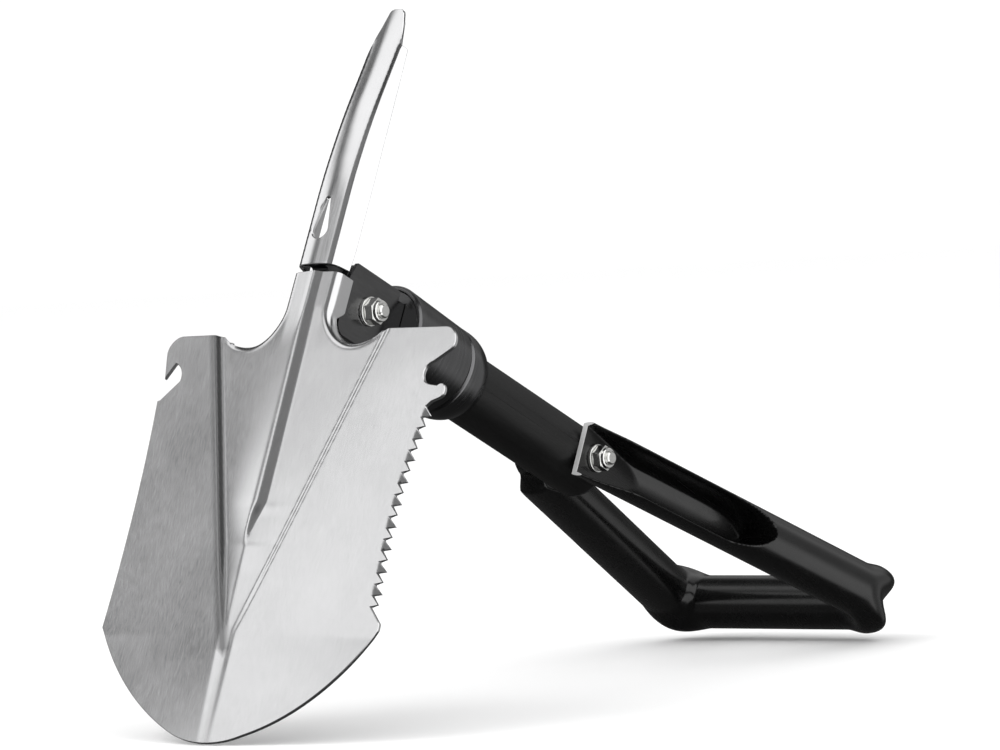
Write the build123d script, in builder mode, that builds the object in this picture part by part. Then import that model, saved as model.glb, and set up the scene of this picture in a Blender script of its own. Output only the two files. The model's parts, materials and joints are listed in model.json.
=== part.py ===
from build123d import *
import math
import os

# Folding camp shovel: stainless blade and pick on one head bolt, a threaded
# locking collar, a black tube shaft and a folding triangular tube handle.
#
# The tool frame has its origin on the head bolt's axis. +X runs along that
# bolt, +Y along the shaft towards the grip, and +Z towards the pick, with the
# blade hanging to -Z. Each piece is modelled there, and at the end the whole
# tool is stood on its blade tip and grip. All sizes are in millimetres.

# --- driving dimensions -------------------------------------------------------
SHEET = 1.8                 # stainless sheet of the blade and the pick
GAP = 0.2                   # side clearance between parts that turn past each other

# fasteners
BOLT_R = 3.0                # M6 bolts
BOLT_HOLE_R = 3.05
HEX_FLATS = 10.0
NUT_HEIGHT = 6.0
BOLT_HEAD_HEIGHT = 4.0
WASHER_R = 6.25
WASHER_THICKNESS = 1.4
INSERT_R = 3.9

# fork: two cheek plates on a threaded barrel
CHEEK_IN = 7.8
CHEEK_OUT = 9.8
CHEEK_FRONT = -16.4
CHEEK_BACK = 15.6
CHEEK_TOP = 16.0
CHEEK_TANG_TOP = 12.0
CHEEK_TANG_END = 46.0
THREAD_R = 18.0
BARREL_START = 24.6
BARREL_STEP = 48.0
PLUG_END = 75.0
RIVET_R = 2.5
RIVET_Y = (31.0, 41.0)
PIN_Y = 67.0                # pin through the shaft tube and its plug

# lugs between the cheeks
LUG_FLAT = 16.0             # from the head bolt to each locking flat
LUG_ROUND = 20.0            # largest radius of a lug's heel
TONGUE_HALF = 4.4
LUG_IN = TONGUE_HALF + GAP
LUG_OUT = CHEEK_IN - GAP

# lock: a pressure plate that the collar screws against the lugs' flats
PLATE_START = 20.3
PLATE_THICKNESS = 3.0
PLATE_R = 19.1
COLLAR_START = 19.9
COLLAR_END = 58.5
COLLAR_FRONT_R = 21.6
COLLAR_BACK_R = 20.5
COLLAR_MOUTH_R = 19.4
COLLAR_THREAD_R = 18.3
COLLAR_LIP_R = 15.4
COLLAR_LIP_START = 53.0
STOP_START = 58.8
STOP_END = 75.5
STOP_END_R = 15.9

# shaft tube
TUBE_R = 15.0
TUBE_BORE_R = 13.5
TUBE_END = 166.0

# handle: one bent tube, its ends crushed into ears
HANDLE_PIVOT_Y = 155.5
HANDLE_Z = -1.5
HANDLE_R = 12.5
HANDLE_BORE_R = 11.0
EAR_IN = TUBE_R + 0.3
EAR_OUT = 17.6
EAR_START = 144.5
EAR_HALF_HEIGHT = 14.0
EAR_PLATE_END = 180.0
ARM_X_AT_EAR = 18.9         # centre line of each arm at the ear's end
CORNER_X = 59.2             # where the arm and grip centre lines meet
CORNER_Y = 329.1
BEND_R = 16.0
SCOOP_R = 10.6              # round floor of the dent pressed into each arm
SCOOP_OFFSET = 1.1          # from the arm's centre line out to the dent's
SCOOP_KNEE = 38.0           # along the arm, where the dent leaves the ear's direction
SCOOP_LENGTH = 46.0         # from there to where it starts to run out
SCOOP_EXIT_SLOPE = 0.7
DENT_WALL = 1.7
LOBE_R = 7.0
LOBE_Z = 9.5
LOBE_OUT = 2.5

# blade, measured in the tool frame with its front to -Y
BLADE_TOP = -20.2
BLADE_CORNER_Z = -148.0
BLADE_TIP = -198.0
BLADE_HALF_WIDTH = 75.0
NECK_HALF = 13.0
NECK_TOP = 7.0
NECK_FRONT = -27.5
NECK_FLANGE_BACK = -21.8
V_TOP_HALF = 46.2
V_VERTEX = -158.9
V_RECESS = 1.2              # the V panel lies this far behind the wings
V_SHOULDER = 4.6            # width of the slope between them
TOOTH_PITCH = 4.68
TOOTH_COUNT = 18
TOOTH_DEPTH = 4.0
TOOTH_TIP_SHARE = 0.82      # how far down its pitch each tooth's tip lies
SAW_TOP = -54.5

# pick
PICK_HALF = 11.6
PICK_BASE = 9.0
PICK_TIP = 131.5
PICK_TIP_X = 2.0

os.makedirs("parts", exist_ok=True)


def across(y, z, radius, half_length, mode=Mode.SUBTRACT):
    """Add or cut a round bar along X at (y, z) in the part being built."""
    with BuildSketch(Plane.YZ) as end:
        with Locations((y, z)):
            Circle(radius)
    extrude(end.sketch, amount=half_length, both=True, mode=mode)


def at_y(y):
    """A cross-section plane at y: local x is X and local y is Z."""
    return Plane.XZ.offset(-y)


# --- shaft, fork and lock -----------------------------------------------------
def make_shaft_tube():
    with BuildPart() as shaft_tube:
        with BuildSketch(at_y(BARREL_STEP)):
            Circle(TUBE_R)
            Circle(TUBE_BORE_R, mode=Mode.SUBTRACT)
        extrude(amount=BARREL_STEP - TUBE_END)
        across(HANDLE_PIVOT_Y, HANDLE_Z, BOLT_HOLE_R, 2 * TUBE_R)
        across(PIN_Y, 0, RIVET_R, 2 * TUBE_R)
    return shaft_tube.part


def make_cheek(side):
    corner = 5.0
    with BuildPart() as cheek:
        with BuildSketch(Plane.YZ.offset(CHEEK_IN if side > 0 else -CHEEK_OUT)):
            with BuildLine():
                Polyline(
                    (CHEEK_FRONT, -CHEEK_TOP + corner),
                    (CHEEK_FRONT, 8.5),
                    (CHEEK_FRONT + 3.0, CHEEK_TOP),
                    (CHEEK_BACK, CHEEK_TOP),
                    (CHEEK_BACK, CHEEK_TANG_TOP),
                    (CHEEK_TANG_END, CHEEK_TANG_TOP),
                    (CHEEK_TANG_END, -CHEEK_TANG_TOP),
                    (CHEEK_BACK, -CHEEK_TANG_TOP),
                    (CHEEK_BACK, -CHEEK_TOP),
                    (CHEEK_FRONT + corner, -CHEEK_TOP),
                )
                RadiusArc(
                    (CHEEK_FRONT + corner, -CHEEK_TOP),
                    (CHEEK_FRONT, -CHEEK_TOP + corner),
                    corner,
                )
            make_face()
        extrude(amount=CHEEK_OUT - CHEEK_IN)
        across(0, 0, BOLT_HOLE_R, 2 * CHEEK_OUT)
        for y in RIVET_Y:
            across(y, 0, RIVET_R, 2 * CHEEK_OUT)
    return cheek.part


def make_threaded_barrel():
    with BuildPart() as threaded_barrel:
        with BuildSketch(at_y(BARREL_START)):
            Circle(THREAD_R)
        extrude(amount=BARREL_START - BARREL_STEP)
        chamfer(threaded_barrel.edges().filter_by(GeomType.CIRCLE), 0.8)
        with BuildSketch(at_y(BARREL_STEP)):
            Circle(TUBE_BORE_R)
        extrude(amount=BARREL_STEP - PLUG_END)
        # slots that the cheeks' tangs lie in
        for x in (CHEEK_IN, -CHEEK_OUT):
            with BuildSketch(Plane.YZ.offset(x)):
                with Locations((CHEEK_TANG_END / 2, 0)):
                    Rectangle(CHEEK_TANG_END, 2 * CHEEK_TANG_TOP)
            extrude(amount=CHEEK_OUT - CHEEK_IN, mode=Mode.SUBTRACT)
        for y in RIVET_Y:
            across(y, 0, RIVET_R, THREAD_R)
        across(PIN_Y, 0, RIVET_R, THREAD_R)
    return threaded_barrel.part


def make_barrel_rivets():
    with BuildPart() as barrel_rivets:
        for y in RIVET_Y:
            across(y, 0, RIVET_R, 17.0, Mode.ADD)
    return barrel_rivets.part


def make_plug_pin():
    with BuildPart() as plug_pin:
        across(PIN_Y, 0, RIVET_R, 14.7, Mode.ADD)
    return plug_pin.part


def make_stop_ring():
    with BuildPart() as stop_ring:
        with BuildSketch(Plane.YZ):
            with BuildLine():
                Line((STOP_START, TUBE_R), (STOP_START, COLLAR_BACK_R - 1.0))
                Line((STOP_START, COLLAR_BACK_R - 1.0), (STOP_START + 1.0, COLLAR_BACK_R))
                Line((STOP_START + 1.0, COLLAR_BACK_R), (STOP_START + 5.0, COLLAR_BACK_R))
                ThreePointArc(
                    (STOP_START + 5.0, COLLAR_BACK_R),
                    (STOP_START + 12.0, 18.9),
                    (STOP_END, STOP_END_R),
                )
                Line((STOP_END, STOP_END_R), (STOP_END, TUBE_R))
                Line((STOP_END, TUBE_R), (STOP_START, TUBE_R))
            make_face()
        revolve(axis=Axis.Y)
    return stop_ring.part


def make_pressure_plate():
    slot_clearance = 0.3
    with BuildPart() as pressure_plate:
        with BuildSketch(at_y(PLATE_START)):
            Circle(PLATE_R)
            with Locations(((CHEEK_IN + CHEEK_OUT) / 2, 0), (-(CHEEK_IN + CHEEK_OUT) / 2, 0)):
                Rectangle(
                    CHEEK_OUT - CHEEK_IN + 2 * slot_clearance,
                    2 * (CHEEK_TANG_TOP + slot_clearance),
                    mode=Mode.SUBTRACT,
                )
        extrude(amount=-PLATE_THICKNESS)
    return pressure_plate.part


def make_locking_collar():
    shoulder = PLATE_START + PLATE_THICKNESS + 0.05
    with BuildPart() as locking_collar:
        with BuildSketch(Plane.YZ):
            with BuildLine():
                Polyline(
                    (COLLAR_START, COLLAR_MOUTH_R),
                    (COLLAR_START, COLLAR_FRONT_R - 1.0),
                    (COLLAR_START + 1.0, COLLAR_FRONT_R),
                    (COLLAR_END - 1.0, COLLAR_BACK_R),
                    (COLLAR_END, COLLAR_BACK_R - 1.0),
                    (COLLAR_END, COLLAR_LIP_R),
                    (COLLAR_LIP_START, COLLAR_LIP_R),
                    (COLLAR_LIP_START, COLLAR_THREAD_R),
                    (shoulder, COLLAR_THREAD_R),
                    (shoulder, COLLAR_MOUTH_R),
                    close=True,
                )
            make_face()
        revolve(axis=Axis.Y)
    return locking_collar.part


def make_shaft_end_cap():
    flange = 2.0
    with BuildPart() as shaft_end_cap:
        with BuildSketch(at_y(TUBE_END - 4.0)):
            Circle(TUBE_BORE_R)
        extrude(amount=-4.0)
        with BuildSketch(at_y(TUBE_END)):
            Circle(TUBE_R - 0.3)
        extrude(amount=-flange)
        fillet(shaft_end_cap.edges().group_by(Axis.Y)[-1], 1.2)
    return shaft_end_cap.part


def make_handle_bolt_sleeve():
    with BuildPart() as handle_bolt_sleeve:
        with BuildSketch(Plane.YZ):
            with Locations((HANDLE_PIVOT_Y, HANDLE_Z)):
                Circle(4.5)
                Circle(BOLT_HOLE_R, mode=Mode.SUBTRACT)
        extrude(amount=12.0, both=True)
    return handle_bolt_sleeve.part


# --- fasteners ----------------------------------------------------------------
def make_bolt(y, z, reach):
    """Hex bolt along X with its head's inner face at x = -reach."""
    with BuildPart() as bolt:
        with BuildSketch(Plane.YZ.offset(-reach - BOLT_HEAD_HEIGHT)):
            with Locations((y, z)):
                RegularPolygon(HEX_FLATS / 2, 6, major_radius=False)
        extrude(amount=BOLT_HEAD_HEIGHT)
        with BuildSketch(Plane.YZ.offset(-reach)):
            with Locations((y, z)):
                Circle(BOLT_R)
        extrude(amount=2 * reach + NUT_HEIGHT + 1.6)
        chamfer(bolt.edges().group_by(Axis.X)[-1], 0.6)
    return bolt.part


def make_washers(y, z, face, radius):
    """One washer against each outer face at x = face and x = -face."""
    with BuildPart() as washers:
        for x in (face, -face - WASHER_THICKNESS):
            with BuildSketch(Plane.YZ.offset(x)):
                with Locations((y, z)):
                    Circle(radius)
                    Circle(BOLT_R, mode=Mode.SUBTRACT)
            extrude(amount=WASHER_THICKNESS)
    return washers.part


def make_nut(y, z, face):
    """Hex lock nut whose round crown holds a nylon insert."""
    hex_height = NUT_HEIGHT - 1.6
    with BuildPart() as nut:
        with BuildSketch(Plane.YZ.offset(face)):
            with Locations((y, z)):
                RegularPolygon(HEX_FLATS / 2, 6, major_radius=False)
        extrude(amount=hex_height)
        with BuildSketch(Plane.YZ.offset(face + hex_height)):
            with Locations((y, z)):
                Circle(HEX_FLATS / 2 - 0.4)
        extrude(amount=NUT_HEIGHT - hex_height)
        fillet(nut.edges().group_by(Axis.X)[-1], 0.7)
        with BuildSketch(Plane.YZ.offset(face)):
            with Locations((y, z)):
                Circle(BOLT_R)
        extrude(amount=NUT_HEIGHT, mode=Mode.SUBTRACT)
        with BuildSketch(Plane.YZ.offset(face + hex_height)):
            with Locations((y, z)):
                Circle(INSERT_R)
        extrude(amount=NUT_HEIGHT - hex_height - 0.5, mode=Mode.SUBTRACT)
    return nut.part


def make_nut_insert(y, z, face):
    with BuildPart() as nut_insert:
        with BuildSketch(Plane.YZ.offset(face + NUT_HEIGHT - 1.6)):
            with Locations((y, z)):
                Circle(INSERT_R)
                Circle(BOLT_R, mode=Mode.SUBTRACT)
        extrude(amount=1.1)
    return nut_insert.part


# --- blade --------------------------------------------------------------------
def blade_section(z, crease_half, crease_y, ridge_half, ridge_y, edge_y, recess):
    """Closed band across the blade at height z: front line, then back line."""
    bevel = min(V_SHOULDER, crease_half - ridge_half) / 2
    reach = 90.0
    half = [
        (ridge_half, ridge_y),
        (crease_half - bevel, crease_y + recess),
        (crease_half + bevel, crease_y),
        (reach, edge_y),
    ]
    front = [(-x, y) for x, y in reversed(half)] + half
    back = [(x, y + SHEET) for x, y in reversed(front)]
    return Plane.XY.offset(z), front + back


def saw_line(z):
    """Half width of the saw edge's middle line at height z."""
    bow_centre = -112.0
    bow_height = 6.7
    if z < bow_centre:
        return 71.0
    return 71.0 + bow_height * ((z - bow_centre) / (SAW_TOP - bow_centre)) ** 2


def saw_points():
    """Tooth tips and roots from the top of the saw edge to its foot."""
    points = []
    for tooth in range(TOOTH_COUNT):
        root_z = SAW_TOP - tooth * TOOTH_PITCH
        tip_z = root_z - TOOTH_TIP_SHARE * TOOTH_PITCH
        points.append((saw_line(root_z) - TOOTH_DEPTH / 2, root_z))
        points.append((saw_line(tip_z) + TOOTH_DEPTH / 2, tip_z))
    foot = SAW_TOP - TOOTH_COUNT * TOOTH_PITCH
    points.append((saw_line(foot) - TOOTH_DEPTH / 2, foot))
    return points


def blade_outline():
    """The blade's outline seen from the front, clockwise from the right scallop."""
    saw = saw_points()
    # right scallop beside the neck, top edge and opener lobe
    TangentArc((NECK_HALF, -10.0), (30.0, -27.3), tangent=(0, -1))
    TangentArc((30.0, -27.3), (43.5, -21.2), tangent=(1, 0))
    Polyline((43.5, -21.2), (47.0, BLADE_TOP), (79.0, BLADE_TOP))
    ThreePointArc((79.0, BLADE_TOP), (83.6, -22.4), (85.2, -27.0))
    Polyline((85.2, -27.0), (81.0, -31.9), (74.2, -35.7))
    # bottle opener notch and its tooth
    ThreePointArc((74.2, -35.7), (71.0, -41.0), (75.5, -45.2))
    Polyline(
        (75.5, -45.2), (80.9, -46.0), (81.9, -44.2), (84.2, -47.0),
        (82.6, -50.7), (77.9, -52.4), saw[0],
    )
    Polyline(*saw)
    Polyline(saw[-1], (BLADE_HALF_WIDTH, -145.5), (BLADE_HALF_WIDTH, BLADE_CORNER_Z))
    # pointed lower edge
    ThreePointArc((BLADE_HALF_WIDTH, BLADE_CORNER_Z), (49.1, -178.5), (19.4, -194.2))
    ThreePointArc((19.4, -194.2), (0, BLADE_TIP), (-19.4, -194.2))
    ThreePointArc((-19.4, -194.2), (-49.1, -176.0), (-BLADE_HALF_WIDTH, BLADE_CORNER_Z))
    # plain left edge, can opener hook and left scallop
    ThreePointArc((-BLADE_HALF_WIDTH, BLADE_CORNER_Z), (-71.3, -98.0), (-72.3, -49.0))
    Polyline((-72.3, -49.0), (-70.8, -48.6), (-61.8, -40.4))
    ThreePointArc((-61.8, -40.4), (-62.6, -35.2), (-66.4, -32.4))
    Polyline((-66.4, -32.4), (-70.9, -39.2), (-73.0, -28.0))
    ThreePointArc((-73.0, -28.0), (-71.0, -22.6), (-66.0, BLADE_TOP))
    Polyline((-66.0, BLADE_TOP), (-47.0, BLADE_TOP), (-43.5, -21.2))
    TangentArc((-30.0, -27.3), (-43.5, -21.2), tangent=(-1, 0))
    TangentArc((-NECK_HALF, -10.0), (-30.0, -27.3), tangent=(0, -1))
    Line((-NECK_HALF, -10.0), (NECK_HALF, -10.0))


def make_blade():
    with BuildPart() as blade:
        sections = (
            blade_section(-9.0, 49.9, -26.7, 9.0, NECK_FRONT, -25.6, V_RECESS),
            blade_section(-113.0, 15.3, -23.5, 1.2, -25.0, -19.2, V_RECESS),
            blade_section(-151.0, 2.8, -22.4, 0.7, -22.9, -16.4, V_RECESS / 4),
            blade_section(-205.0, 2.8, -19.5, 0.7, -19.8, -17.6, 0.0),
        )
        for plane, outline in sections:
            with BuildSketch(plane):
                with BuildLine():
                    Polyline(*outline, close=True)
                make_face()
        loft(ruled=True)
        with BuildSketch(at_y(0)):
            with BuildLine():
                blade_outline()
            make_face()
        extrude(amount=60.0, mode=Mode.INTERSECT)
        # neck: a channel that rises from the blade and ends below the pick
        with BuildSketch(Plane.XY.offset(-18.0)):
            with BuildLine():
                bend = 3.5
                inner = bend - SHEET
                side = NECK_HALF - SHEET
                Line((-NECK_HALF, NECK_FLANGE_BACK), (-NECK_HALF, NECK_FRONT + bend))
                RadiusArc((-NECK_HALF, NECK_FRONT + bend), (-NECK_HALF + bend, NECK_FRONT), bend)
                Line((-NECK_HALF + bend, NECK_FRONT), (NECK_HALF - bend, NECK_FRONT))
                RadiusArc((NECK_HALF - bend, NECK_FRONT), (NECK_HALF, NECK_FRONT + bend), bend)
                Line((NECK_HALF, NECK_FRONT + bend), (NECK_HALF, NECK_FLANGE_BACK))
                Line((NECK_HALF, NECK_FLANGE_BACK), (side, NECK_FLANGE_BACK))
                Line((side, NECK_FLANGE_BACK), (side, NECK_FRONT + bend))
                RadiusArc((side, NECK_FRONT + bend), (side - inner, NECK_FRONT + SHEET), -inner)
                Line((side - inner, NECK_FRONT + SHEET), (inner - side, NECK_FRONT + SHEET))
                RadiusArc((inner - side, NECK_FRONT + SHEET), (-side, NECK_FRONT + bend), -inner)
                Line((-side, NECK_FRONT + bend), (-side, NECK_FLANGE_BACK))
                Line((-side, NECK_FLANGE_BACK), (-NECK_HALF, NECK_FLANGE_BACK))
            make_face()
        extrude(amount=NECK_TOP + 18.0)
    return blade.part


def make_blade_lug(x):
    """Flat lug from the head bolt to the inside of the neck, from x outwards."""
    web = NECK_FRONT + SHEET
    with BuildPart() as blade_lug:
        with BuildSketch(Plane.YZ.offset(x)):
            Circle(LUG_ROUND)
            Rectangle(2 * LUG_FLAT, 2 * LUG_FLAT, mode=Mode.INTERSECT)
            with BuildLine():
                Polyline((web, 5.0), (-8.0, 5.0), (-8.0, -14.5), (-25.0, -14.5), (web, -8.5), close=True)
            make_face()
        extrude(amount=LUG_OUT - LUG_IN)
        across(0, 0, BOLT_HOLE_R, 30.0)
    return blade_lug.part


# --- pick ---------------------------------------------------------------------
def pick_front_line(inset=0.0):
    """Front of the pick in (y, z), from its base to its tip, moved back by inset."""
    Line((inset - 29.5, PICK_BASE), (inset - 29.6, 48.0))
    Spline(
        (inset - 29.6, 48.0), (inset - 27.2, 80.0), (inset - 24.2, 100.0), (inset - 20.0, PICK_TIP),
        tangents=((0, 1), (0.14, 1)),
    )


def make_pick_channel():
    with BuildPart() as pick_channel:
        with BuildSketch(Plane.YZ):
            with BuildLine():
                pick_front_line()
                Polyline(
                    (-20.0, PICK_TIP), (-18.2, PICK_TIP), (-18.6, 100.0), (-19.5, 66.0),
                    (-19.7, 17.0), (-16.6, 12.5), (-16.6, PICK_BASE), (-29.5, PICK_BASE),
                )
            make_face()
        extrude(amount=PICK_HALF, both=True)
        fillet(
            pick_channel.edges().filter_by(lambda e: e.center().Y < -21.5 and abs(e.center().X) > 5),
            2.6,
        )
        with BuildSketch(Plane.YZ):
            with BuildLine():
                pick_front_line(SHEET)
                Polyline(
                    (SHEET - 20.0, PICK_TIP), (0.0, PICK_TIP), (0.0, PICK_BASE),
                    (SHEET - 29.5, PICK_BASE),
                )
            make_face()
        extrude(amount=PICK_HALF - SHEET + 0.2, both=True, mode=Mode.SUBTRACT)
        # point cut across the end
        with BuildSketch(at_y(0)):
            with BuildLine():
                Polyline(
                    (-15.0, 0.0), (15.0, 0.0), (15.0, 113.0), (10.0, 114.5),
                    (PICK_TIP_X + 1.5, PICK_TIP), (PICK_TIP_X - 1.0, PICK_TIP),
                    (-PICK_HALF, 106.0), (-15.0, 106.0), close=True,
                )
            make_face()
        extrude(amount=60.0, mode=Mode.INTERSECT)
        # teardrop hanging hole
        with BuildSketch(at_y(-15.0)):
            with Locations((-1.8, 25.0)):
                Circle(4.2)
            with Locations((-1.4, 38.5)):
                Circle(1.3)
            make_hull()
        extrude(amount=20.0, mode=Mode.SUBTRACT)
    return pick_channel.part


def make_pick_tongue():
    web = -29.5 + SHEET
    with BuildPart() as pick_tongue:
        with BuildSketch(Plane.YZ.offset(-TONGUE_HALF)):
            Circle(LUG_ROUND)
            Rectangle(2 * LUG_FLAT, 2 * LUG_FLAT, mode=Mode.INTERSECT)
            with BuildLine():
                Polyline(
                    (web, PICK_BASE + 0.5), (-24.8, PICK_BASE), (-15.5, -3.0), (-8.0, LUG_FLAT),
                    (-19.8, 15.4), (-21.9, 20.0), (-21.9, 21.0), (web, 21.0), close=True,
                )
            make_face()
        extrude(amount=2 * TONGUE_HALF)
        across(0, 0, BOLT_HOLE_R, 30.0)
    return pick_tongue.part


# --- handle -------------------------------------------------------------------
def tube_ring():
    """Section of the handle tube, in the sketch being built."""
    Circle(HANDLE_R)
    Circle(HANDLE_BORE_R, mode=Mode.SUBTRACT)


def scoop_segment(start, direction, length, radius):
    """A groove cutter along a direction: a round floor with straight sides out to +X."""
    section = Plane(origin=start, x_dir=(direction.Y, -direction.X, 0), z_dir=direction)
    with BuildPart() as segment:
        with BuildSketch(section):
            Circle(radius)
            with Locations((HANDLE_R, 0)):
                Rectangle(2 * HANDLE_R, 2 * radius)
        extrude(amount=length)
    return segment.part


def make_handle_tube():
    """Right half of the handle, with its arm, bend and half the grip, then its mirror image."""
    arm_vector = Vector(CORNER_X - ARM_X_AT_EAR, CORNER_Y - EAR_START, 0)
    arm_dir = arm_vector.normalized()
    arm_out = Vector(arm_dir.Y, -arm_dir.X, 0)
    bend_turn = 90.0 + math.degrees(math.atan2(arm_dir.X, arm_dir.Y))
    tangent = BEND_R * math.tan(math.radians(bend_turn / 2))
    bend_centre = (CORNER_X - tangent, CORNER_Y - BEND_R, HANDLE_Z)
    arm_start = Vector(ARM_X_AT_EAR, EAR_START, HANDLE_Z)
    arm_length = arm_vector.length - tangent
    # the scoop runs beside the ear, then along the arm, then out through its side
    knee = arm_start + arm_dir * SCOOP_KNEE + arm_out * SCOOP_OFFSET
    ear_part_start = Vector(knee.X, EAR_START - 5.0, HANDLE_Z)
    run_out = knee + arm_dir * SCOOP_LENGTH
    out_dir = (arm_dir + arm_out * SCOOP_EXIT_SLOPE).normalized()
    segments = (
        (ear_part_start, Vector(0, 1, 0), knee.Y - ear_part_start.Y + 2.5),
        (knee, arm_dir, SCOOP_LENGTH + 3.5),
        (run_out, out_dir, 90.0),
    )
    with BuildPart() as bore:
        with BuildSketch(Plane(origin=arm_start + arm_dir * SCOOP_KNEE, z_dir=arm_dir)):
            Circle(HANDLE_BORE_R)
        extrude(amount=arm_length - SCOOP_KNEE)
        for start, direction, length in segments:
            add(scoop_segment(start, direction, length, SCOOP_R + DENT_WALL), mode=Mode.SUBTRACT)
    with BuildPart() as handle_tube:
        with BuildSketch(Plane(origin=arm_start, z_dir=arm_dir)):
            Circle(HANDLE_R)
        extrude(amount=arm_length)
        for start, direction, length in segments:
            add(scoop_segment(start, direction, length, SCOOP_R), mode=Mode.SUBTRACT)
        add(bore.part.solids().sort_by(SortBy.VOLUME)[-1], mode=Mode.SUBTRACT)
        with BuildSketch(Plane.YZ):
            with Locations((CORNER_Y, HANDLE_Z)):
                tube_ring()
        extrude(amount=CORNER_X - tangent)
        # the bend, whose collapsed wall stands up in two lobes
        with BuildSketch(Plane(origin=bend_centre, x_dir=(0, 1, 0), z_dir=(1, 0, 0))):
            with Locations((BEND_R, 0)):
                tube_ring()
            with Locations((BEND_R + LOBE_OUT, LOBE_Z), (BEND_R + LOBE_OUT, -LOBE_Z)):
                Circle(LOBE_R)
        revolve(axis=Axis(bend_centre, (0, 0, -1)), revolution_arc=bend_turn)
        # crushed ear beside the shaft tube, and room for that tube
        with BuildSketch(Plane.YZ.offset(EAR_IN)):
            with Locations(((EAR_START + EAR_PLATE_END) / 2, HANDLE_Z)):
                Rectangle(EAR_PLATE_END - EAR_START, 2 * EAR_HALF_HEIGHT)
        extrude(amount=EAR_OUT - EAR_IN)
        with BuildSketch(Plane.XY.offset(HANDLE_Z)):
            with Locations((0, 160.0)):
                Rectangle(2 * EAR_IN, 60.0)
        extrude(amount=20.0, both=True, mode=Mode.SUBTRACT)
        # flat seat for the washer
        with BuildSketch(Plane.YZ.offset(EAR_OUT)):
            with Locations((HANDLE_PIVOT_Y, HANDLE_Z)):
                Circle(WASHER_R + 1.5)
        extrude(amount=20.0, mode=Mode.SUBTRACT)
        mirror(about=Plane.YZ)
        across(HANDLE_PIVOT_Y, HANDLE_Z, BOLT_R, 60.0)
    return handle_tube.part


# --- the pieces, by node name -------------------------------------------------
head_face = CHEEK_OUT
head_seat = CHEEK_OUT + WASHER_THICKNESS
ear_seat = EAR_OUT + WASHER_THICKNESS
pieces = {
    "shaft_tube": make_shaft_tube(),
    "fork_cheek_right": make_cheek(1),
    "fork_cheek_left": make_cheek(-1),
    "threaded_barrel": make_threaded_barrel(),
    "barrel_rivets": make_barrel_rivets(),
    "plug_pin": make_plug_pin(),
    "stop_ring": make_stop_ring(),
    "shaft_end_cap": make_shaft_end_cap(),
    "handle_bolt_sleeve": make_handle_bolt_sleeve(),
    "head_bolt": make_bolt(0, 0, head_seat),
    "head_washers": make_washers(0, 0, head_face, WASHER_R),
    "head_nut": make_nut(0, 0, head_seat),
    "head_nut_insert": make_nut_insert(0, 0, head_seat),
    "pressure_plate": make_pressure_plate(),
    "locking_collar": make_locking_collar(),
    "blade": make_blade(),
    "blade_lug_right": make_blade_lug(LUG_IN),
    "blade_lug_left": make_blade_lug(-LUG_OUT),
    "pick_channel": make_pick_channel(),
    "pick_tongue": make_pick_tongue(),
    "handle_tube": make_handle_tube(),
    "handle_bolt": make_bolt(HANDLE_PIVOT_Y, HANDLE_Z, ear_seat),
    "handle_washers": make_washers(HANDLE_PIVOT_Y, HANDLE_Z, EAR_OUT, WASHER_R),
    "handle_nut": make_nut(HANDLE_PIVOT_Y, HANDLE_Z, ear_seat),
    "handle_nut_insert": make_nut_insert(HANDLE_PIVOT_Y, HANDLE_Z, ear_seat),
}

# --- stand the tool on its blade tip and the lobes of its grip ---------------
tip_y = -19.0
lobe_y = CORNER_Y + LOBE_OUT
lobe_z = HANDLE_Z - LOBE_Z
run = lobe_y - tip_y
rise = lobe_z - BLADE_TIP
STAND_ANGLE = -math.degrees(
    math.atan2(rise, run) - math.asin(LOBE_R / math.hypot(run, rise))
)
tilt = Location((0, 0, 0), (STAND_ANGLE, 0, 0))
box = Compound(children=[tilt * part for part in pieces.values()]).bounding_box()
STAND_SHIFT = Vector(-(box.min.X + box.max.X) / 2, -(box.min.Y + box.max.Y) / 2, -box.min.Z)
STAND = Location(STAND_SHIFT) * tilt

for name, part in pieces.items():
    standing = STAND * part
    standing.label = name
    export_step(standing, f"parts/{name}.step")
    print(name, len(standing.solids()), round(standing.volume), standing.is_valid)
print("stand angle", round(STAND_ANGLE, 3), "shift", STAND_SHIFT)
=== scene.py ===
"""Looks of the folding camp shovel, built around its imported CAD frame.

New meshes are drawn in the tool's own frame, in millimetres: origin on the head bolt, +X along that bolt,
+Y along the shaft towards the grip, +Z towards the pick. MM and TOOL carry them to the row frame.
"""

import json
import math

import bpy
import numpy as np
from mathutils import Matrix, Vector
from mathutils.geometry import delaunay_2d_cdt


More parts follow.
